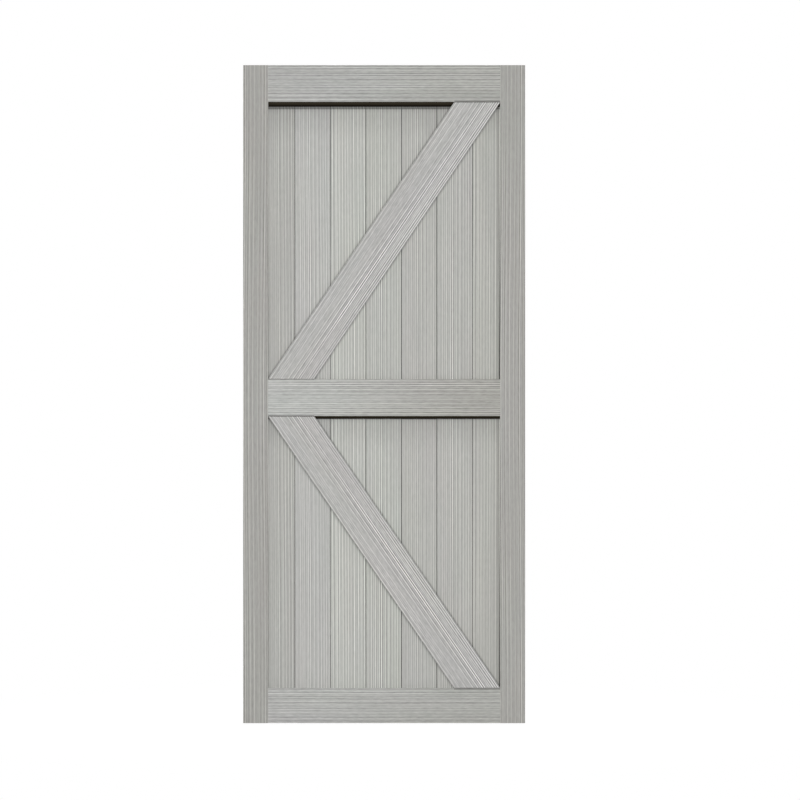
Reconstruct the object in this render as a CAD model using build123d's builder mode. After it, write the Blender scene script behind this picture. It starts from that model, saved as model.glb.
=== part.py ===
# Barn door leaf with a K-shaped pair of braces on each face.
# Grooved stiles and stub-tenoned rails hold two panels of tongued, V-jointed boards.
# Millimetres. The origin is at the middle of the top edge, +X is to the right seen from the front,
# the front faces -Y and +Z is up.
from build123d import *
from math import sqrt
import os

# Leaf and frame
door_width = 914.4
door_height = 2133.6
frame_thickness = 35.0
stile_width = 81.0
top_rail_width = 119.0
middle_rail_width = 119.0
bottom_rail_width = 113.2
middle_rail_height = 996.0  # lower edge of the middle rail above the foot of the door
frame_arris = 0.8  # bevel along the long edges of the stiles, rails and braces

# Groove round the inside of the frame, and the tongues and tenons that it holds
groove_depth = 12.0
tongue_thickness = 7.0
tongue_play = 0.2  # each side of a tongue in its groove
tenon_end_gap = 0.5  # between a stub tenon and the bottom of the groove
tongue_reach = 10.0  # how far a board's tongue goes into the groove
top_tongue_reach = 9.0  # the same at the head of a board, which hangs a little low

# Boards
board_thickness = 11.0
board_pitch = 115.2  # face of a whole board
board_shift = 2.0  # the boards lie this far left of the door's middle
joint_bevel = 1.5  # one side of a V joint
joint_gap = 0.8  # open line at the bottom of a V joint
joint_tongue_thickness = 3.0
joint_tongue_length = 6.0
joint_play = 0.15
joint_end_gap = 0.5
upper_head_gap = 14.8  # open strip between the top rail and the boards below it
upper_head_bevel = 9.0  # sloped strip across the heads of the upper boards
lower_head_gap = 9.0  # open strip below the middle rail
lower_head_bevel = 2.5
side_bevel = 9.5  # sloped strip along the last board's outer edge
side_taper = 2.4  # how far that board leans away from its stile at the foot

# Braces
brace_width = 124.0
brace_end_gap = 1.5  # between a brace's end and the rail there

# Places that follow from the sizes above
half_frame = frame_thickness / 2
half_board = board_thickness / 2
half_tongue = tongue_thickness / 2
groove_width = tongue_thickness + 2 * tongue_play
joint_groove_width = joint_tongue_thickness + 2 * joint_play
joint_groove_depth = joint_tongue_length + joint_end_gap
opening_width = door_width - 2 * stile_width
half_opening = opening_width / 2
foot = -door_height
upper_top = -top_rail_width
lower_top = foot + middle_rail_height
upper_foot = lower_top + middle_rail_width
lower_foot = foot + bottom_rail_width
brace_thickness = half_frame - half_board

os.makedirs("parts", exist_ok=True)


def save(piece, name):
    piece.label = name
    export_step(piece, f"parts/{name}.step")


def make_stile(name, side):
    """A full-height upright, grooved along its inner edge. side is -1 at the left and 1 at the right."""
    inner = side * half_opening
    middle = side * (half_opening + stile_width / 2)
    with BuildPart() as stile:
        with BuildSketch(Plane.XY.offset(foot)) as section:
            with Locations((middle, 0)):
                Rectangle(stile_width, frame_thickness)
            chamfer(section.vertices(), frame_arris)
            with Locations((inner + side * groove_depth / 2, 0)):
                Rectangle(groove_depth, groove_width, mode=Mode.SUBTRACT)
        extrude(amount=door_height)
    save(stile.part, name)


def make_rail(name, low, high, groove_below, groove_above):
    """A cross rail between the stiles, grooved where a panel meets it, with a stub tenon at each end."""
    tenon_length = groove_depth - tenon_end_gap
    tenon_low = low + groove_depth if groove_below else low
    tenon_high = high - groove_depth if groove_above else high
    with BuildPart() as rail:
        with BuildSketch(Plane.YZ.offset(-half_opening)) as section:
            with Locations((0, (low + high) / 2)):
                Rectangle(frame_thickness, high - low)
            chamfer(section.vertices(), frame_arris)
            if groove_below:
                with Locations((0, low + groove_depth / 2)):
                    Rectangle(groove_width, groove_depth, mode=Mode.SUBTRACT)
            if groove_above:
                with Locations((0, high - groove_depth / 2)):
                    Rectangle(groove_width, groove_depth, mode=Mode.SUBTRACT)
        extrude(amount=opening_width)
        with BuildSketch(Plane.YZ.offset(-half_opening - tenon_length)):
            with Locations((0, (tenon_low + tenon_high) / 2)):
                Rectangle(tongue_thickness, tenon_high - tenon_low)
        extrude(amount=opening_width + 2 * tenon_length)
    save(rail.part, name)


def make_board(name, left, right, shoulder_low, rail_above, head_gap, head_bevel):
    """One upright board. left and right bound its face, which stands on the rail at shoulder_low.
    Inner edges are tongued and grooved, edges at a stile carry the panel tongue, and so do both ends."""
    at_left_stile = left <= -half_opening
    at_right_stile = right >= half_opening
    face_left = left if at_left_stile else left + joint_gap / 2
    face_right = right if at_right_stile else right - joint_gap / 2
    shoulder_high = rail_above - head_gap
    end_low = shoulder_low - tongue_reach
    end_high = rail_above + top_tongue_reach
    far_left = left - tongue_reach
    far_right = right + tongue_reach
    with BuildPart() as board:
        with BuildSketch(Plane.XY.offset(end_low)) as section:
            with Locations(((face_left + face_right) / 2, 0)):
                Rectangle(face_right - face_left, board_thickness)
            corners = section.vertices().sort_by(Axis.X)
            if not at_left_stile:
                chamfer(corners[:2], joint_bevel)
            if not at_right_stile:
                chamfer(corners[-2:], joint_bevel)
            with Locations((left, 0)):
                if at_left_stile:
                    Rectangle(2 * tongue_reach, tongue_thickness)
                else:
                    Rectangle(2 * joint_groove_depth, joint_groove_width, mode=Mode.SUBTRACT)
            with Locations((right, 0)):
                if at_right_stile:
                    Rectangle(2 * tongue_reach, tongue_thickness)
                else:
                    Rectangle(2 * joint_tongue_length, joint_tongue_thickness)
        extrude(amount=end_high - end_low)
        # Both ends are thinned to the panel tongue, with a slope up to the one at the head
        with BuildSketch(Plane.YZ.offset(far_left)):
            for face in (-1, 1):
                with BuildLine():
                    Polyline(
                        (face * half_tongue, end_high),
                        (face * half_tongue, shoulder_high),
                        (face * half_board, shoulder_high - head_bevel),
                        (face * half_board, end_high),
                        close=True,
                    )
                make_face()
                with Locations((face * (half_tongue + half_board) / 2, (end_low + shoulder_low) / 2)):
                    Rectangle(half_board - half_tongue, shoulder_low - end_low)
        extrude(amount=far_right - far_left, mode=Mode.SUBTRACT)
        # The last board leans away from its stile, and both of its faces slope down to that edge
        if at_right_stile:
            lean = Vector(side_taper, 0, shoulder_high - shoulder_low)
            with BuildSketch(Plane.XY.offset(shoulder_low)):
                for face in (-1, 1):
                    with BuildLine():
                        Polyline(
                            (right - side_taper - side_bevel, face * half_board),
                            (right - side_taper, face * half_tongue),
                            (far_right, face * half_tongue),
                            (far_right, face * half_board),
                            close=True,
                        )
                    make_face()
            extrude(amount=lean.length, dir=lean, mode=Mode.SUBTRACT)
    save(board.part, name)


def make_panel(name, shoulder_low, rail_above, head_gap, head_bevel):
    """A row of boards: whole ones in the middle, and one cut to fit at each stile."""
    whole_boards = int(opening_width / board_pitch) - 1
    first_joint = -whole_boards * board_pitch / 2 - board_shift
    edges = [first_joint + i * board_pitch for i in range(whole_boards + 1)]
    edges = [-half_opening] + edges + [half_opening]
    for i, (left, right) in enumerate(zip(edges, edges[1:]), start=1):
        make_board(f"{name}_board_{i}", left, right, shoulder_low, rail_above, head_gap, head_bevel)


def brace_cut(height):
    """Length of the level cut at a brace's end, where the brace runs from corner to corner of its opening."""
    reach = sqrt(height**2 + opening_width**2 - brace_width**2)
    return brace_width * (height * reach - brace_width * opening_width) / (height**2 - brace_width**2)


def make_brace(name, low, high, rise, face):
    """A diagonal from corner to corner of an opening, on the boards and flush with the frame.
    rise is 1 where it climbs to the right and -1 where it falls. face is -1 at the front and 1 at the back."""
    cut = brace_cut(high - low)
    with BuildPart() as brace:
        with BuildSketch(Plane.XZ.offset(-face * half_board)):
            with BuildLine():
                Polyline(
                    (-rise * half_opening, low),
                    (-rise * (half_opening - cut), low),
                    (rise * half_opening, high),
                    (rise * (half_opening - cut), high),
                    close=True,
                )
            make_face()
        extrude(amount=-face * brace_thickness)
        outer_face = brace.faces().sort_by(Axis.Y)[0 if face < 0 else -1]
        chamfer(outer_face.edges(), frame_arris)
    save(brace.part, name)


make_stile("left_stile", -1)
make_stile("right_stile", 1)
make_rail("top_rail", upper_top, 0, groove_below=True, groove_above=False)
make_rail("middle_rail", lower_top, upper_foot, groove_below=True, groove_above=True)
make_rail("bottom_rail", foot, lower_foot, groove_below=False, groove_above=True)
make_panel("upper", upper_foot, upper_top, upper_head_gap, upper_head_bevel)
make_panel("lower", lower_foot, lower_top, lower_head_gap, lower_head_bevel)
for face_name, face in (("front", -1), ("back", 1)):
    make_brace(f"{face_name}_upper_brace", upper_foot + brace_end_gap, upper_top - brace_end_gap, 1, face)
    make_brace(f"{face_name}_lower_brace", lower_foot + brace_end_gap, lower_top - brace_end_gap, -1, face)
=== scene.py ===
import bpy
import math
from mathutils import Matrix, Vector


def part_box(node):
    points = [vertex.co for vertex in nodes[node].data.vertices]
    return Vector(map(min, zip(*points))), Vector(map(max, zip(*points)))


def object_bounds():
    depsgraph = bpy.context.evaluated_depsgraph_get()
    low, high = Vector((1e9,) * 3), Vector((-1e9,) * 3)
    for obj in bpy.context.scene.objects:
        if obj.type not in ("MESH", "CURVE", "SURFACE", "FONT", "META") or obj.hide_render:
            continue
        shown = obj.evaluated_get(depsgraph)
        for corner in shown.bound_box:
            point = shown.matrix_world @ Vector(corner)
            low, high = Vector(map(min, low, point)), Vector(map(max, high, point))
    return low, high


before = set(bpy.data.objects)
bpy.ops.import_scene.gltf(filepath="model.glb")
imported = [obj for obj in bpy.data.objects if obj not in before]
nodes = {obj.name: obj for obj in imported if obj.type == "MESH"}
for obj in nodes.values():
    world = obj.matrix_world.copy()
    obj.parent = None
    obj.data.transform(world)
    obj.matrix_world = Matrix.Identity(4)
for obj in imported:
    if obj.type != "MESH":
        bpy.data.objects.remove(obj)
cadLow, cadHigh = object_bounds()
print("frame loaded:", len(nodes), "pieces of the door")

mm = 0.001
hair = 0.01 * mm  # points closer than this count as level
doorMiddle = (cadLow + cadHigh) / 2
panels = ("upper", "lower")
boardCount = sum(name.startswith("upper_board_") for name in nodes)


# Small helpers for node trees
def toLinear(red, green, blue):
    def channel(value):
        share = value / 255
        return share / 12.92 if share <= 0.04045 else ((share + 0.055) / 1.055) ** 2.4
    return (channel(red), channel(green), channel(blue), 1)


def fill(tree, socket, value):
    if isinstance(value, bpy.types.NodeSocket):
        tree.links.new(value, socket)
    else:
        socket.default_value = value


def add(tree, kind, inputs=(), **settings):
    node = tree.nodes.new(kind)
    for name, value in settings.items():
        setattr(node, name, value)
    for name, value in dict(inputs).items():
        fill(tree, node.inputs[name], value)
    return node


def calc(tree, operation, *values):
    node = add(tree, "ShaderNodeMath", operation=operation)
    for i, value in enumerate(values):
        fill(tree, node.inputs[i], value)
    return node.outputs[0]


def move(tree, vector, offset):
    return add(tree, "ShaderNodeVectorMath", {0: vector, 1: offset}, operation="ADD").outputs[0]


def rotate(tree, vector, turn):
    return add(tree, "ShaderNodeMapping", {"Vector": vector, "Rotation": (0, turn, 0)}).outputs[0]


def scale(tree, vector, factor):
    return add(tree, "ShaderNodeVectorMath", {0: vector, "Scale": factor}, operation="SCALE").outputs[0]


def times(tree, vector, factors):
    return add(tree, "ShaderNodeVectorMath", {0: vector, 1: factors}, operation="MULTIPLY").outputs[0]


def split(tree, vector):
    return add(tree, "ShaderNodeSeparateXYZ", {"Vector": vector}).outputs


def join(tree, x, y, z):
    return add(tree, "ShaderNodeCombineXYZ", {"X": x, "Y": y, "Z": z}).outputs[0]


def ease(tree, value, start, end, low=0.0, high=1.0):
    node = add(tree, "ShaderNodeMapRange", {
        "Value": value, "From Min": start, "From Max": end, "To Min": low, "To Max": high,
    }, interpolation_type="SMOOTHSTEP")
    return node.outputs["Result"]


def blend(tree, factor, first, second):
    node = add(tree, "ShaderNodeMix", {"Factor": factor}, data_type="RGBA")
    fill(tree, node.inputs[6], first)
    fill(tree, node.inputs[7], second)
    return node.outputs[2]


def newGroup(name, inputs, outputs):
    group = bpy.data.node_groups.new(name, "ShaderNodeTree")
    for label, kind, value in inputs:
        socket = group.interface.new_socket(label, in_out="INPUT", socket_type="NodeSocket" + kind)
        if value is not None:
            socket.default_value = value
    for label, kind in outputs:
        group.interface.new_socket(label, in_out="OUTPUT", socket_type="NodeSocket" + kind)
    return group, add(group, "NodeGroupInput").outputs, add(group, "NodeGroupOutput").inputs


def place(tree, group, **inputs):
    node = add(tree, "ShaderNodeGroup", node_tree=group)
    for name, value in inputs.items():
        fill(tree, node.inputs[name], value)
    return node.outputs


# What all the film has in common: sizes in millimetres, run in changes a metre.
# The darker edge of a printed line reaches past its width, and fades between two multiples of it
film = {
    "pitch": 6.8, "run": 4.0, "lineWidth": 2.1, "lineEdge": 0.3, "edgeFade": (1.2, 2.4), "hue": 0.015,
    "reliefDepth": 0.12, "reliefStrength": 0.35, "shine": 0.06,
}
# The grain between the printed lines: spread, shift and half width of its own lines are in pitches
grainLook = {
    "seedStep": 13.7, "bends": 4.0, "unevenness": 0.4, "weakest": 0.3, "pathStep": 57.0,
    "holdSpan": (0.25, 0.75), "holdTones": (0.35, 1.65),
    "light": {"spread": 1.0, "shift": 0.0, "half": 0.31},
    "dark": {"spread": 1.13, "shift": 7.0, "half": 0.27},
    "fine": {"stretch": (2.6, 1.0, 50.0), "detail": 2.0},
    "broad": {"stretch": (0.12, 1.0, 2.2), "detail": 1.0},
    "tint": {"stretch": (0.09, 1.0, 2.6), "detail": 1.0},
}


# Grain of the printed film, in metres: X runs across it, Y wraps it round an edge, Z runs along it
def makeFilmGrain():
    group, given, out = newGroup(
        "filmGrain",
        [("Vector", "Vector", None), ("Seed", "Float", 0.0), ("Pitch", "Float", 0.007),
         ("Run", "Float", 2.0), ("Waver", "Float", 0.0)],
        [("Light", "Float"), ("Dark", "Float"), ("Fine", "Float"), ("Broad", "Float"),
         ("Tint", "Color"), ("Drift", "Float")],
    )
    spot = split(group, given["Vector"])
    seeded = calc(group, "MULTIPLY", given["Seed"], grainLook["seedStep"])
    along = calc(group, "MULTIPLY", spot["Z"], given["Run"])
    bend = join(group, seeded, 0.0, calc(group, "MULTIPLY", spot["Z"], grainLook["bends"]))
    bendNoise = add(group, "ShaderNodeTexNoise", {"Vector": bend, "Scale": 1.0, "Detail": 1.0})
    swing = calc(group, "SUBTRACT", bendNoise.outputs["Fac"], 0.5)
    drift = calc(group, "MULTIPLY", swing, given["Waver"])
    wrapped = calc(group, "ADD", calc(group, "ADD", spot["X"], spot["Y"]), drift)
    across = calc(group, "DIVIDE", wrapped, given["Pitch"])

    # Lines at uneven spacing, each with a strength of its own that comes and goes along the grain
    def lines(spread, shift, half):
        where = calc(group, "MULTIPLY_ADD", across, spread, calc(group, "ADD", seeded, shift))
        cells = add(group, "ShaderNodeTexVoronoi", {
            "W": where, "Scale": 1.0, "Randomness": grainLook["unevenness"],
        }, voronoi_dimensions="1D", feature="F1")
        own = add(group, "ShaderNodeSeparateColor", {"Color": cells.outputs["Color"]}).outputs
        path = join(group, calc(group, "MULTIPLY", own["Green"], grainLook["pathStep"]), seeded, along)
        hold = add(group, "ShaderNodeTexNoise", {"Vector": path, "Scale": 1.0, "Detail": 2.0})
        held = ease(group, hold.outputs["Fac"], *grainLook["holdSpan"], *grainLook["holdTones"])
        weakest = grainLook["weakest"]
        strength = calc(group, "MULTIPLY_ADD", own["Red"], 1.0 - weakest, weakest)
        strength = calc(group, "MULTIPLY", strength, held)
        return calc(group, "MULTIPLY", ease(group, cells.outputs["Distance"], half, 0.0), strength)

    base = join(group, calc(group, "ADD", across, seeded), seeded, calc(group, "ADD", spot["Z"], seeded))

    def layer(stretch, detail):
        grown = times(group, base, stretch)
        return add(group, "ShaderNodeTexNoise", {"Vector": grown, "Scale": 1.0, "Detail": detail}).outputs

    fill(group, out["Light"], lines(**grainLook["light"]))
    fill(group, out["Dark"], lines(**grainLook["dark"]))
    fill(group, out["Fine"], layer(**grainLook["fine"])["Fac"])
    fill(group, out["Broad"], layer(**grainLook["broad"])["Fac"])
    fill(group, out["Tint"], layer(**grainLook["tint"])["Color"])
    fill(group, out["Drift"], drift)
    return group


# One line printed along the grain, pale with a darker edge on both sides
def makePrintedLine():
    group, given, out = newGroup(
        "printedLine",
        [("Across", "Float", 0.0), ("Place", "Float", 0.0), ("Width", "Float", 0.003),
         ("Lift", "Float", 0.1), ("Edge", "Float", 0.3)],
        [("Line", "Float")],
    )
    fadeStart, fadeEnd = film["edgeFade"]
    offset = calc(group, "SUBTRACT", given["Across"], given["Place"])
    away = calc(group, "DIVIDE", calc(group, "ABSOLUTE", offset), given["Width"])
    pale = calc(group, "MULTIPLY", ease(group, away, 1.0, 0.0), calc(group, "ADD", given["Edge"], 1.0))
    edge = calc(group, "MULTIPLY", ease(group, away, fadeEnd, fadeStart), given["Edge"])
    line = calc(group, "SUBTRACT", pale, edge)
    fill(group, out["Line"], calc(group, "MULTIPLY", line, given["Lift"]))
    return group


# How strongly each part of the grain shows, and the gloss between its low and high places
finishLook = {
    "light": 0.65, "lightMean": 0.105, "dark": 0.15, "broad": 0.1,
    "holdSpan": (0.25, 0.65), "holdTones": (0.6, 1.2), "glossSpan": (0.3, 0.7), "roughness": (0.66, 0.54),
}


# The film's colour, gloss and relief from its grain
def makeFilmFinish():
    group, given, out = newGroup(
        "filmFinish",
        [("Tone", "Color", (0.4, 0.4, 0.4, 1)), ("Light", "Float", 0.0), ("Dark", "Float", 0.0),
         ("Fine", "Float", 0.5), ("Broad", "Float", 0.5), ("Tint", "Color", (0.5, 0.5, 0.5, 1)),
         ("Lines", "Float", 0.0), ("Contrast", "Float", 1.0), ("Speckle", "Float", 0.2),
         ("Hue", "Float", 0.02)],
        [("Color", "Color"), ("Roughness", "Float"), ("Height", "Float")],
    )

    def swing(socket, amount):
        return calc(group, "MULTIPLY", calc(group, "SUBTRACT", socket, 0.5), amount)

    light = calc(group, "MULTIPLY_ADD", given["Light"], finishLook["light"], -finishLook["lightMean"])
    dark = calc(group, "MULTIPLY", given["Dark"], finishLook["dark"])
    grain = calc(group, "MULTIPLY", calc(group, "SUBTRACT", light, dark), given["Contrast"])
    hold = ease(group, given["Broad"], *finishLook["holdSpan"], *finishLook["holdTones"])
    held = calc(group, "MULTIPLY", given["Lines"], hold)
    level = calc(group, "ADD", calc(group, "ADD", grain, held), swing(given["Broad"], finishLook["broad"]))
    level = calc(group, "ADD", calc(group, "ADD", level, swing(given["Fine"], given["Speckle"])), 1.0)
    tint = blend(group, given["Hue"], (1, 1, 1, 1), scale(group, given["Tint"], 2.0))
    fill(group, out["Color"], scale(group, times(group, given["Tone"], tint), level))
    gloss = ease(group, given["Fine"], *finishLook["glossSpan"], *finishLook["roughness"])
    fill(group, out["Roughness"], gloss)
    relief = calc(group, "ADD", calc(group, "SUBTRACT", given["Light"], given["Dark"]), given["Lines"])
    fill(group, out["Height"], calc(group, "ADD", given["Fine"], relief))
    return group


filmGrain = makeFilmGrain()
printedLine = makePrintedLine()
filmFinish = makeFilmFinish()
print("shared film groups built")


def newFilm(name):
    material = bpy.data.materials.new(name)
    material.use_nodes = True
    tree = material.node_tree
    tree.nodes.clear()
    return material, tree, add(tree, "ShaderNodeTexCoord").outputs["Object"]


def closeFilm(tree, color, roughness, height):
    bump = add(tree, "ShaderNodeBump", {
        "Strength": film["reliefStrength"], "Distance": film["reliefDepth"] * mm, "Height": height})
    skin = add(tree, "ShaderNodeBsdfPrincipled", {
        "Base Color": color, "Roughness": roughness, "Normal": bump.outputs["Normal"],
        "Specular IOR Level": film["shine"]})
    end = add(tree, "ShaderNodeOutputMaterial")
    tree.links.new(skin.outputs[0], end.inputs["Surface"])


# The ground colour that leaves a tone as the mean once the printed lines are on it
def groundTone(tone, lines, width):
    lifted = sum(lift for where, lift in lines if 0 < where * mm < width) * film["lineWidth"] * mm
    edges = (sum(film["edgeFade"]) - 1) * film["lineEdge"]  # what the darker edges take off a line
    raised = 1 + lifted * (1 - edges) / width
    return tuple(part / raised for part in toLinear(*tone)[:3]) + (1,)


# The finish of a piece whose face lies at faceHalf, with its printed lines folded over the edges
def layFilm(tree, vector, look, tone, faceHalf):
    grain = place(tree, filmGrain, Vector=vector, Seed=look["seed"], Pitch=film["pitch"] * mm,
                  Run=film["run"], Waver=look["waver"] * mm)
    spot = split(tree, vector)
    overEdge = calc(tree, "SUBTRACT", faceHalf, calc(tree, "ABSOLUTE", spot["Y"]))
    across = calc(tree, "ADD", calc(tree, "ADD", spot["X"], grain["Drift"]), overEdge)
    total = 0.0
    for where, lift in look["lines"]:
        line = place(tree, printedLine, Across=across, Place=where * mm, Width=film["lineWidth"] * mm,
                     Lift=lift, Edge=film["lineEdge"])
        total = calc(tree, "ADD", total, line["Line"])
    return place(tree, filmFinish, Tone=tone, Light=grain["Light"], Dark=grain["Dark"],
                 Fine=grain["Fine"], Broad=grain["Broad"], Tint=grain["Tint"], Lines=total,
                 Contrast=look["contrast"], Speckle=look["speckle"], Hue=film["hue"])


# The angle that stands a brace upright, and its two long edges once it stands so
def braceTurn(name):
    low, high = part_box(name)
    foot = [v.co.x for v in nodes[name].data.vertices if v.co.z < low.z + hair]
    lean = math.atan2(high.z - low.z, high.x - low.x - (max(foot) - min(foot)))
    climbs = min(foot) < doorMiddle.x
    turn = (lean if climbs else math.pi - lean) - math.pi / 2
    ends = (low.z, high.z) if climbs else (high.z, low.z)
    left = low.x * math.cos(turn) + ends[0] * math.sin(turn)
    right = high.x * math.cos(turn) + ends[1] * math.sin(turn)
    return turn, left, right


# Boards: two prints, whose lines are millimetres from a whole board's left edge with their lift in tone
boardPrints = {
    "plain": {"seed": 2.0, "lines": (
        (6, 0.14), (9, 0.15), (15, 0.1), (19, 0.35), (25, 0.18), (28.5, 0.1), (32, 0.32), (35.3, -0.1),
        (41.5, 0.08), (45, 0.46), (51, 0.6), (54.3, -0.1), (61, 0.1), (64, 0.36), (67.3, -0.2),
        (74, 0.2), (77, 0.2), (80.5, -0.18), (86, 0.22), (93.5, 0.14), (96, 0.22), (103, 0.38),
        (106.3, -0.1), (112, 0.28))},
    "bold": {"seed": 4.0, "lines": (
        (-16, 0.2), (-10, 0.14), (-3, 0.2), (4, -0.12), (8.5, 0.46), (13.5, -0.26), (19, 0.5),
        (22.5, 0.5), (30, 0.38), (36, -0.12), (41, 0.4), (46, -0.1), (51, 0.3), (59, 0.3),
        (63, -0.14), (67.5, 0.16), (72.5, -0.18), (78, 0.55), (85, -0.08), (92, 0.6), (96, -0.1),
        (101, 0.24), (108, -0.1), (111.5, 0.55))},
}
# Each board's print and its strength, how far it is set to the right and along, how far it leans to the
# right from head to foot, its mean tone, and for some the painted shade of its bevels
boardFilms = [
    {"print": "bold", "strength": 0.95, "right": 26.2, "lean": 4.0, "along": 0.7,
     "tone": (178, 178, 174)},
    {"print": "plain", "strength": 1.06, "right": -1.5, "lean": 3.8, "along": 0.0,
     "tone": (184.5, 184.5, 181.5)},
    {"print": "bold", "strength": 1.0, "right": -1.2, "lean": 3.0, "along": 0.0,
     "tone": (188.5, 189.5, 184.5)},
    {"print": "plain", "strength": 1.2, "right": -0.3, "lean": -0.8, "along": 1.1,
     "tone": (184, 185, 180)},
    {"print": "plain", "strength": 0.9, "right": 0.4, "lean": 0.0, "along": 2.3,
     "tone": (181.5, 181.5, 177.5), "bevelShadeTone": 0.45},
    {"print": "plain", "strength": 1.1, "right": -0.1, "lean": -0.4, "along": 3.1,
     "tone": (181, 181, 177)},
    {"print": "bold", "strength": 0.88, "right": -3.1, "lean": -1.6, "along": 1.9,
     "tone": (179.5, 179.5, 174.5), "bevelShadeTone": 0.88},
]
# The bevel, head, fade, foot, contact, slope, gap, stile and deep core tones here are painted shade and
# light
boardLook = {
    "contrast": 0.3, "speckle": 0.28, "waver": 0.0, "leanSpan": (0.05, 0.95),
    "bevelShadeTone": 0.82, "bevelDepths": (0.05, 0.4),
    "headShadeTone": {"upper": 0.47, "lower": 0.68}, "headEdge": 1.0,
    "headShadeFades": ((16.0, 0.91), (115.0, 0.87)), "footReach": 8.0, "footPaintedLight": 1.1,
    "contactShades": {"upper": ((0.74, 8.5), (0.64, 8.5)), "lower": ((0.68, 10.0), (0.68, 6.5))},
    "slopeShadeWidth": 3.8, "slopeShadeEdge": 0.3, "slopeWidth": 9.5, "gapReach": 3.5,
    "gapShadeTones": {"foot": 0.5, "head": 1.55}, "stileReach": 9.0, "stileShadeTones": {"foot": 0.88, "head": 1.1},
    "coreHalf": 3.5, "coreEdge": 0.06, "coreTone": (58, 53, 43), "coreShadowTone": (16, 13, 8),
}
# The rails below and above each panel
railsOf = {"upper": ("middle_rail", "top_rail"), "lower": ("bottom_rail", "middle_rail")}


# A board's face, and the heights of its foot, of its face's end, of its slope's end and of the rail above
def measureBoard(panel, number):
    name = f"{panel}_board_{number}"
    low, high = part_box(name)
    points = [v.co for v in nodes[name].data.vertices]
    face = [p for p in points if abs(p.y) > high.y - hair]
    left = max(low.x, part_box("left_stile")[1].x)
    right = min(high.x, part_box("right_stile")[0].x)
    railBelow, railAbove = railsOf[panel]
    return {
        "panel": panel, "number": number, "face": face, "left": left, "width": right - left,
        "faceHalf": high.y, "foot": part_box(railBelow)[1].z, "faceTop": max(p.z for p in face),
        "slopeTop": max(p.z for p in points if p.z < high.z - hair),
        "railAbove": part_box(railAbove)[0].z,
    }


# Painted shade and light near an upright edge, from one tone at the foot to another at the head
def edgeShade(tree, near, at, foot, head, tones):
    tone = ease(tree, at["Z"], foot, head, tones["foot"] - 1.0, tones["head"] - 1.0)
    return calc(tree, "MULTIPLY_ADD", near, tone, 1.0)


# Painted shade on the last board's slope, which begins at a raked line, and painted shade and light along
# the gap
def slopeShade(tree, at, look, board):
    foot = min(p.z for p in board["face"])
    head = board["faceTop"]
    footEdge = max(p.x for p in board["face"] if p.z < foot + hair)
    headEdge = max(p.x for p in board["face"] if p.z > head - hair)
    rake = (headEdge - footEdge) / (head - foot)
    edge = calc(tree, "MULTIPLY_ADD", at["Z"], rake, footEdge - foot * rake)
    past = calc(tree, "SUBTRACT", at["X"], edge)
    shadeStart = -look["slopeShadeWidth"] * mm
    shadedSlope = ease(tree, past, shadeStart, shadeStart + look["slopeShadeEdge"] * mm)
    byGap = ease(tree, past, (look["slopeWidth"] - look["gapReach"]) * mm, look["slopeWidth"] * mm)
    return shadedSlope, edgeShade(tree, byGap, at, foot, head, look["gapShadeTones"])


# Painted shade in the V-grooves darkens the bevels, and painted shade under the rail darkens the sloped
# heads more
def paintedEdgeShade(tree, at, look, board):
    faceTop = board["faceTop"]
    depth = calc(tree, "ABSOLUTE", at["Y"])
    onBevel = ease(tree, depth, *(board["faceHalf"] - step * mm for step in look["bevelDepths"]))
    gapShade = 1.0
    # The first board gets painted shade by the stile at its foot and painted light at its head
    if board["number"] == 1:
        byStile = ease(tree, at["X"], board["left"] + look["stileReach"] * mm, board["left"])
        gapShade = edgeShade(tree, byStile, at, board["foot"], faceTop, look["stileShadeTones"])
    if board["number"] == boardCount:
        shadedSlope, gapShade = slopeShade(tree, at, look, board)
        onBevel = calc(tree, "MAXIMUM", onBevel, shadedSlope)
    # Painted shade of the rail above, darkening the sloped head
    onHead = ease(tree, at["Z"], faceTop, faceTop + look["headEdge"] * mm)
    bevelShade = calc(tree, "MULTIPLY_ADD", onBevel, look["bevelShadeTone"] - 1.0, 1.0)
    headShade = calc(tree, "MULTIPLY_ADD", onHead, look["headShadeTone"][board["panel"]] - 1.0, 1.0)
    return calc(tree, "MULTIPLY", calc(tree, "MINIMUM", bevelShade, headShade), gapShade)


# Painted shade fading in below the rail above, painted light at the foot, and painted contact shadows
# beside the brace lying on the boards
def paintedShadeAndLight(tree, spot, at, look, board):
    foot, faceTop = board["foot"], board["faceTop"]
    shade = ease(tree, at["Z"], foot, foot + look["footReach"] * mm, look["footPaintedLight"], 1.0)
    for reach, tone in look["headShadeFades"]:
        fade = ease(tree, at["Z"], faceTop - reach * mm, faceTop, 1.0, tone)
        shade = calc(tree, "MULTIPLY", shade, fade)
    panel = board["panel"]
    turn, *braceEdges = braceTurn(f"front_{panel}_brace")
    beside = split(tree, rotate(tree, spot, turn))["X"]
    for edge, (tone, reach) in zip(braceEdges, look["contactShades"][panel]):
        away = calc(tree, "ABSOLUTE", calc(tree, "SUBTRACT", beside, edge))
        shade = calc(tree, "MULTIPLY", shade, ease(tree, away, 0.0, reach * mm, tone, 1.0))
    return shade


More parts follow.
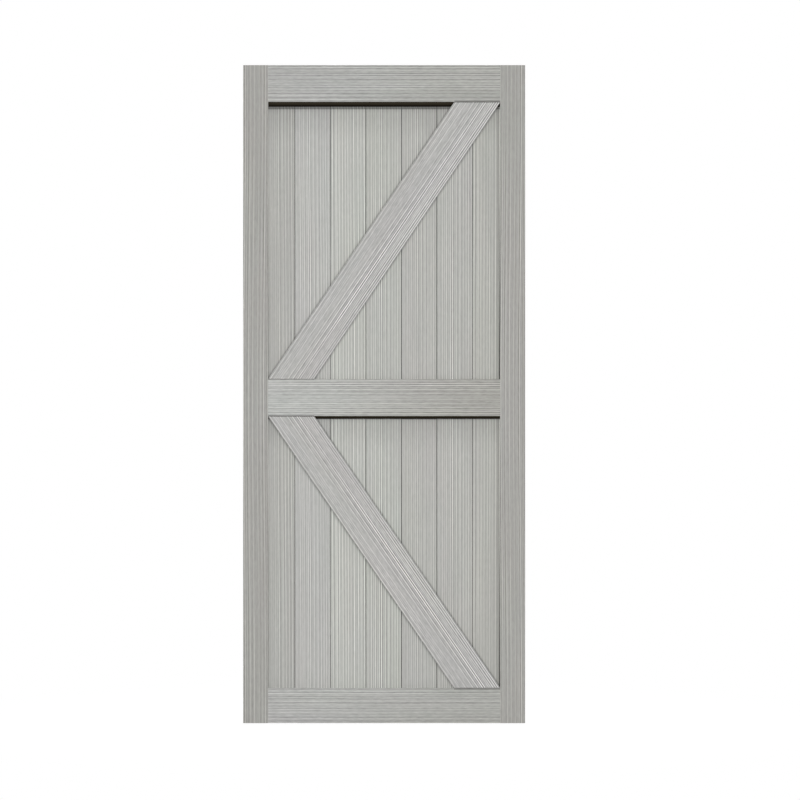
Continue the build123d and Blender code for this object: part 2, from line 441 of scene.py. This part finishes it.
def makeBoardFilm(panel, number):
    board = measureBoard(panel, number)
    own = boardFilms[(number - 1) % len(boardFilms)]
    look = {**boardLook, **boardPrints[own["print"]], **own}
    material, tree, spot = newFilm(f"{panel}BoardFilm{number}")
    at = split(tree, spot)
    # The print leans between two shares of the board's height
    height = board["faceTop"] - board["foot"]
    leanStart, leanEnd = (board["faceTop"] - share * height for share in look["leanSpan"])
    halfLean = own["lean"] * mm / 2
    leaning = ease(tree, at["Z"], leanEnd, leanStart, -halfLean, halfLean)
    printed = move(tree, spot, (-board["left"], 0, own["along"]))
    printed = move(tree, printed, join(tree, leaning, 0.0, 0.0))
    lines = [(where + own["right"], lift * own["strength"]) for where, lift in look["lines"]]
    tone = groundTone(own["tone"], lines, board["width"])
    skin = layFilm(tree, printed, {**look, "lines": lines}, tone, board["faceHalf"])
    # Painted shade on the bevels, heads and edges of the board
    edgeShading = paintedEdgeShade(tree, at, look, board)
    shade = calc(tree, "MULTIPLY", edgeShading, paintedShadeAndLight(tree, spot, at, look, board))
    shaded = scale(tree, skin["Color"], shade)
    # Raw dark core in the slot under the rail and beside the last board, its colour partly painted shade
    # of the slot, painted darker still towards the rail
    depth = calc(tree, "ABSOLUTE", at["Y"])
    inCore = ease(tree, depth, (look["coreHalf"] + look["coreEdge"]) * mm, look["coreHalf"] * mm)
    upSlot = ease(tree, at["Z"], board["slopeTop"], board["railAbove"])
    core = blend(tree, upSlot, toLinear(*look["coreShadowTone"]), toLinear(*look["coreTone"]))
    color = blend(tree, inCore, shaded, core)
    closeFilm(tree, color, calc(tree, "MAXIMUM", skin["Roughness"], inCore), skin["Height"])
    return material


def dressBoards():
    for panel in panels:
        for number in range(1, boardCount + 1):
            node = nodes[f"{panel}_board_{number}"]
            node.material_slots[0].material = makeBoardFilm(panel, number)
    print("boards dressed")


# The frame's bevelled arrises get a painted highlight: lifts are for the left and right edge
frameLook = {
    "arris": 0.8, "arrisSoft": 0.1, "faceDepths": (0.05, 0.2), "railLift": 0.4,
    "stileLifts": {"left_stile": (0.15, 0.4), "right_stile": (0.9, 0.1)},
}


def arrisHighlight(tree, depth, faceHalf, lift):
    start = faceHalf - frameLook["arris"] * mm
    soft = frameLook["arrisSoft"] * mm
    outside = ease(tree, depth, start - soft, start + soft)
    inside = ease(tree, depth, *(faceHalf - step * mm for step in frameLook["faceDepths"]))
    return calc(tree, "MULTIPLY_ADD", calc(tree, "MULTIPLY", outside, inside), lift, 1.0)


# Stiles: both carry the same print, bowed to the left at mid-height, and their sawn ends are sealed
stileLook = {
    "seed": 11.0, "tone": (166.5, 165.5, 161.5), "waver": 0.0, "contrast": 0.26, "speckle": 0.36,
    "bow": 6.3, "bowReach": 980.0, "squeezeFrom": 24.0,
    "sawnTone": (152, 149, 143), "sawnDepths": (0.4, 0.1),
    "fibre": 900.0, "fibreSpan": (0.2, 0.8), "fibreTones": (0.85, 1.15),
    "prints": {"left_stile": {"squeeze": 1.0, "strength": 0.96, "along": 0.0},
               "right_stile": {"squeeze": 0.92, "strength": 0.84, "along": 1.3}},
    "lines": ((4.4, -0.2), (8, 0.4), (18.4, -0.34), (24.2, 0.42), (30.5, -0.24), (37, 0.42),
              (43.4, -0.08), (51.4, 0.38), (57, -0.18), (62.5, 0.14), (68.6, -0.3), (72.8, 0.48),
              (78.6, -0.18), (82.6, -0.4), (88, -0.45), (91.4, -0.45)),
}


# Where a stile is sawn across, and its colour there
def sawnEnds(tree, spot, at, low, high):
    toHead = calc(tree, "SUBTRACT", high.z, at["Z"])
    toFoot = calc(tree, "SUBTRACT", at["Z"], low.z)
    toEnd = calc(tree, "MINIMUM", toHead, toFoot)
    onEnd = ease(tree, toEnd, *(step * mm for step in stileLook["sawnDepths"]))
    noise = add(tree, "ShaderNodeTexNoise", {"Vector": spot, "Scale": stileLook["fibre"], "Detail": 3.0})
    fibre = ease(tree, noise.outputs["Fac"], *stileLook["fibreSpan"], *stileLook["fibreTones"])
    return onEnd, scale(tree, toLinear(*stileLook["sawnTone"])[:3], fibre)


def dressStiles():
    for name, own in stileLook["prints"].items():
        low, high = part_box(name)
        material, tree, spot = newFilm(f"{name}Film")
        at = split(tree, spot)
        fromMiddle = calc(tree, "ABSOLUTE", calc(tree, "SUBTRACT", at["Z"], doorMiddle.z))
        bowed = ease(tree, fromMiddle, 0.0, stileLook["bowReach"] * mm, stileLook["bow"] * mm, 0.0)
        printed = move(tree, spot, (-low.x, 0, own["along"]))
        printed = move(tree, printed, join(tree, bowed, 0.0, 0.0))
        start = stileLook["squeezeFrom"]
        lines = [(start + (where - start) * own["squeeze"], lift * own["strength"])
                 for where, lift in stileLook["lines"]]
        tone = groundTone(stileLook["tone"], lines, high.x - low.x)
        skin = layFilm(tree, printed, {**stileLook, "lines": lines}, tone, high.y)
        middle = (low.x + high.x) / 2
        # Painted highlight on the stile's arrises, different for its two edges
        lift = ease(tree, at["X"], middle - mm, middle + mm, *frameLook["stileLifts"][name])
        depth = calc(tree, "ABSOLUTE", at["Y"])
        highlighted = scale(tree, skin["Color"], arrisHighlight(tree, depth, high.y, lift))
        onEnd, sawn = sawnEnds(tree, spot, at, low, high)
        color = blend(tree, onEnd, highlighted, sawn)
        closeFilm(tree, color, calc(tree, "MAXIMUM", skin["Roughness"], onEnd), skin["Height"])
        nodes[name].material_slots[0].material = material
    print("stiles dressed")


# Rails: lines count from the top, and the tone goes from the first at the left end to the second
railPrint = (
    (7.8, 0.34), (13, -0.16), (17.2, 0.2), (27, -0.16), (30.2, 0.28), (33.4, -0.18), (38, 0.32),
    (42, 0.24), (47, -0.3), (52.6, 0.26), (56.4, -0.1), (59.4, 0.06), (64.6, -0.16), (69.4, 0.36),
    (75.5, 0.1), (79, 0.3), (82.6, -0.1), (86, 0.18), (89, 0.16), (93, -0.2), (98.6, 0.3),
    (104.8, -0.2), (111.6, 0.44),
)
middlePrint = (
    (5, 0.2), (9, 0.36), (14.4, 0.72), (20.7, 0.75), (27, 0.06), (30.6, -0.14), (33.2, 0.4),
    (40.3, -0.12), (46.8, 0.32), (50, -0.16), (56.5, 0.04), (66.3, 0.26), (72.8, -0.12), (79, 0.14),
    (85, -0.2), (90, 0.16), (95.5, -0.2), (100.2, 0.32), (104.5, 0.3), (108.4, -0.1), (112.2, 0.62),
)
railLooks = {
    "top_rail": {
        "seed": 21.0, "along": 0.0, "down": 0.0, "lines": railPrint,
        "tones": ((176, 176, 174), (169, 169, 165)), "butts": {"low": 8.0}},
    "middle_rail": {
        "seed": 22.0, "along": 0.0, "down": 0.0, "lines": middlePrint,
        "tones": ((183, 184, 181), (166, 165, 160)), "butts": {"low": 5.0, "high": 4.0}},
    "bottom_rail": {
        "seed": 21.0, "along": 1.7, "down": 0.8, "lines": railPrint,
        "tones": ((178, 178, 176), (171, 171, 167)), "butts": {"high": 8.0}},
}
# The butt and under tones are painted shade
railLook = {
    "waver": 2.0, "contrast": 0.4, "speckle": 0.6, "buttShadeTone": 0.68, "buttGap": 3.0, "buttCore": 0.35,
    "underShadeTone": (36, 33, 27), "underDepths": (0.3, 0.1),
}


# A brace's two level ends: height, left and right
def braceEnds(name):
    ends = []
    for level in [corner.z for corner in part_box(name)]:
        across = [v.co.x for v in nodes[name].data.vertices if abs(v.co.z - level) < hair]
        ends.append((level, min(across), max(across)))
    return ends


# Painted shade line on a rail where the end of a brace butts against it
def buttShade(tree, at, look, edge, reach):
    shade = 1.0
    for panel in panels:
        for level, left, right in braceEnds(f"front_{panel}_brace"):
            if abs(level - edge) < look["buttGap"] * mm:
                fromLeft = ease(tree, at["X"], left, left + mm)
                fromRight = ease(tree, at["X"], right, right - mm)
                away = calc(tree, "ABSOLUTE", calc(tree, "SUBTRACT", at["Z"], edge))
                near = ease(tree, away, reach * mm, look["buttCore"] * reach * mm)
                line = calc(tree, "MULTIPLY", near, calc(tree, "MULTIPLY", fromLeft, fromRight))
                shade = calc(tree, "MULTIPLY_ADD", line, look["buttShadeTone"] - 1.0, 1.0)
    return shade


def dressRails():
    for name, own in railLooks.items():
        look = {**railLook, **own}
        low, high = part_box(name)
        material, tree, spot = newFilm(f"{name}Film")
        at = split(tree, spot)
        down = calc(tree, "SUBTRACT", high.z - look["down"] * mm, at["Z"])
        printed = join(tree, down, at["Y"], calc(tree, "ADD", at["X"], look["along"]))
        tones = [groundTone(tone, look["lines"], high.z - low.z) for tone in look["tones"]]
        tone = blend(tree, ease(tree, at["X"], low.x, high.x), *tones)
        skin = layFilm(tree, printed, look, tone, high.y)
        depth = calc(tree, "ABSOLUTE", at["Y"])
        # Painted highlight on the rail's arrises
        shade = arrisHighlight(tree, depth, high.y, frameLook["railLift"])
        edges = {"low": low.z, "high": high.z}
        for side, reach in look["butts"].items():
            shade = calc(tree, "MULTIPLY", shade, buttShade(tree, at, look, edges[side], reach))
        color = scale(tree, skin["Color"], shade)
        # The bare core under the rails with a slot below is darkened as painted shade of the slot
        if "low" in look["butts"]:  # bare core under the rails that have a slot below
            under = ease(tree, at["Z"], *(low.z + step * mm for step in look["underDepths"]))
            color = blend(tree, under, color, toLinear(*look["underShadeTone"]))
        closeFilm(tree, color, skin["Roughness"], skin["Height"])
        nodes[name].material_slots[0].material = material
    print("rails dressed")


# Braces: all carry the same print, measured square to the brace from its left edge
braceLook = {
    "seed": 31.0, "tone": (182, 181, 179), "waver": 0.0, "contrast": 0.3, "speckle": 0.65,
    "right": {"upper": 0.0, "lower": -1.8},
    "lines": ((5.5, 0.45), (11, -0.14), (17, 0.4), (24, -0.05), (33, 0.36), (48, -0.2), (53, 0.36),
              (57.5, -0.12), (62, -0.08), (66, 0.55), (70.5, -0.26), (75, -0.12), (79, 0.95),
              (85.5, 0.88), (89, -0.16), (96, 0.18), (101, 0.24), (104.3, -0.18), (107.5, 0.5),
              (111, -0.12), (115, 0.44), (121, 0.62)),
}


def dressBraces():
    for face in ("front", "back"):
        for panel in panels:
            name = f"{face}_{panel}_brace"
            low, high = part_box(name)
            turn, left, right = braceTurn(name)
            material, tree, spot = newFilm(f"{name}Film")
            toRight = left + braceLook["right"][panel] * mm
            printed = move(tree, rotate(tree, spot, turn), (-toRight, 0, 0))
            tone = groundTone(braceLook["tone"], braceLook["lines"], right - left)
            skin = layFilm(tree, printed, braceLook, tone, max(-low.y, high.y))
            closeFilm(tree, skin["Color"], skin["Roughness"], skin["Height"])
            nodes[name].material_slots[0].material = material
    print("braces dressed")


dressBoards()
dressStiles()
dressRails()
dressBraces()


# Studio: a white world and floor for the camera, and plain soft light for the door
studio = {
    "ambient": 0.35, "floorGlow": 0.94, "floorShade": 0.14, "floorTone": 0.92, "floorSize": 30.0,
    "shadowReach": (0.5, 1.6),
    "lamps": {
        "keyLamp": {"at": (-1.1, -8.5, -0.35), "size": 1.3, "power": 197.0},
        "fillLamp": {"at": (1.1, -8.5, -0.35), "size": 1.3, "power": 197.0},
        "backLamp": {"at": (2.5, 8.5, 1.0), "size": 4.0, "power": 440.0},
        "leftLamp": {"at": (-8.0, 0.0, 0.0), "size": 1.2, "power": 80.0},
        "rightLamp": {"at": (8.0, 0.0, 0.0), "size": 1.2, "power": 80.0},
        "topLamp": {"at": (0.0, 0.0, 7.0), "size": 1.0, "power": 50.0},
    },
}


def cameraSees(tree):
    path = add(tree, "ShaderNodeLightPath").outputs
    seen = calc(tree, "MAXIMUM", path["Is Camera Ray"], path["Is Glossy Ray"])
    return calc(tree, "MAXIMUM", seen, path["Is Transmission Ray"])


def makeWorld():
    world = bpy.data.worlds.new("studioWorld")
    bpy.context.scene.world = world
    world.use_nodes = True
    tree = world.node_tree
    tree.nodes.clear()
    strength = add(tree, "ShaderNodeMapRange", {
        "Value": cameraSees(tree), "To Min": studio["ambient"], "To Max": 1.0})
    sky = add(tree, "ShaderNodeBackground", {
        "Color": (1, 1, 1, 1), "Strength": strength.outputs["Result"]})
    end = add(tree, "ShaderNodeOutputWorld")
    tree.links.new(sky.outputs[0], end.inputs["Surface"])


def makeFloor():
    half = studio["floorSize"] / 2
    mesh = bpy.data.meshes.new("floor")
    corners = [(-half, -half, 0), (half, -half, 0), (half, half, 0), (-half, half, 0)]
    mesh.from_pydata(corners, [], [(0, 1, 2, 3)])
    floor = bpy.data.objects.new("floor", mesh)
    floor.location = (doorMiddle.x, doorMiddle.y, cadLow.z)
    bpy.context.scene.collection.objects.link(floor)
    material = bpy.data.materials.new("paleFloor")
    material.use_nodes = True
    tree = material.node_tree
    tree.nodes.clear()
    plain = add(tree, "ShaderNodeBsdfDiffuse", {"Color": (studio["floorTone"],) * 3 + (1,)})
    faint = add(tree, "ShaderNodeBsdfDiffuse", {"Color": (studio["floorShade"],) * 3 + (1,)})
    glow = add(tree, "ShaderNodeEmission", {"Color": (1, 1, 1, 1), "Strength": studio["floorGlow"]})
    near = add(tree, "ShaderNodeAddShader", {0: faint.outputs[0], 1: glow.outputs[0]})
    white = add(tree, "ShaderNodeEmission", {"Color": (1, 1, 1, 1), "Strength": 1.0})
    spot = add(tree, "ShaderNodeTexCoord").outputs["Object"]
    away = add(tree, "ShaderNodeVectorMath", {0: spot}, operation="LENGTH").outputs["Value"]
    far = ease(tree, away, *studio["shadowReach"])
    seen = add(tree, "ShaderNodeMixShader", {0: far, 1: near.outputs[0], 2: white.outputs[0]})
    both = add(tree, "ShaderNodeMixShader", {
        0: cameraSees(tree), 1: plain.outputs[0], 2: seen.outputs[0]})
    end = add(tree, "ShaderNodeOutputMaterial")
    tree.links.new(both.outputs[0], end.inputs["Surface"])
    mesh.materials.append(material)


def makeLamps():
    for name, lamp in studio["lamps"].items():
        data = bpy.data.lights.new(name, "AREA")
        data.size = lamp["size"]
        data.energy = lamp["power"]
        light = bpy.data.objects.new(name, data)
        light.location = doorMiddle + Vector(lamp["at"])
        light.rotation_euler = (doorMiddle - light.location).to_track_quat("-Z", "Y").to_euler()
        bpy.context.scene.collection.objects.link(light)


makeWorld()
makeFloor()
makeLamps()
bpy.context.scene.view_settings.view_transform = "Standard"
print("studio lit")


# Camera: level, square to the front, aimed so that the door stands where the photograph has it
picture = {
    "pixels": 800, "doorLeft": 243.1, "doorRight": 525.25, "doorTop": 65.22, "doorFoot": 723.08,
    "lens": 150.0, "sensor": 36.0, "farthest": 200.0,
}


def makeCamera():
    data = bpy.data.cameras.new("camera")
    camera = bpy.data.objects.new("camera", data)
    bpy.context.scene.collection.objects.link(camera)
    data.lens = picture["lens"]
    data.sensor_width = picture["sensor"]
    wide = (cadHigh.x - cadLow.x) / (picture["doorRight"] - picture["doorLeft"])
    tall = (cadHigh.z - cadLow.z) / (picture["doorFoot"] - picture["doorTop"])
    perPixel = (wide + tall) / 2
    away = perPixel * picture["pixels"] * data.lens / data.sensor_width
    middle = picture["pixels"] / 2
    aimX = doorMiddle.x + (middle - (picture["doorLeft"] + picture["doorRight"]) / 2) * perPixel
    aimZ = doorMiddle.z - (middle - (picture["doorTop"] + picture["doorFoot"]) / 2) * perPixel
    camera.location = (aimX, cadLow.y - away, aimZ)
    camera.rotation_euler = (math.pi / 2, 0, 0)
    data.clip_end = picture["farthest"]
    bpy.context.scene.camera = camera
    print("camera", round(away, 2), "m away,", round(perPixel / mm, 3), "mm a pixel")


makeCamera()
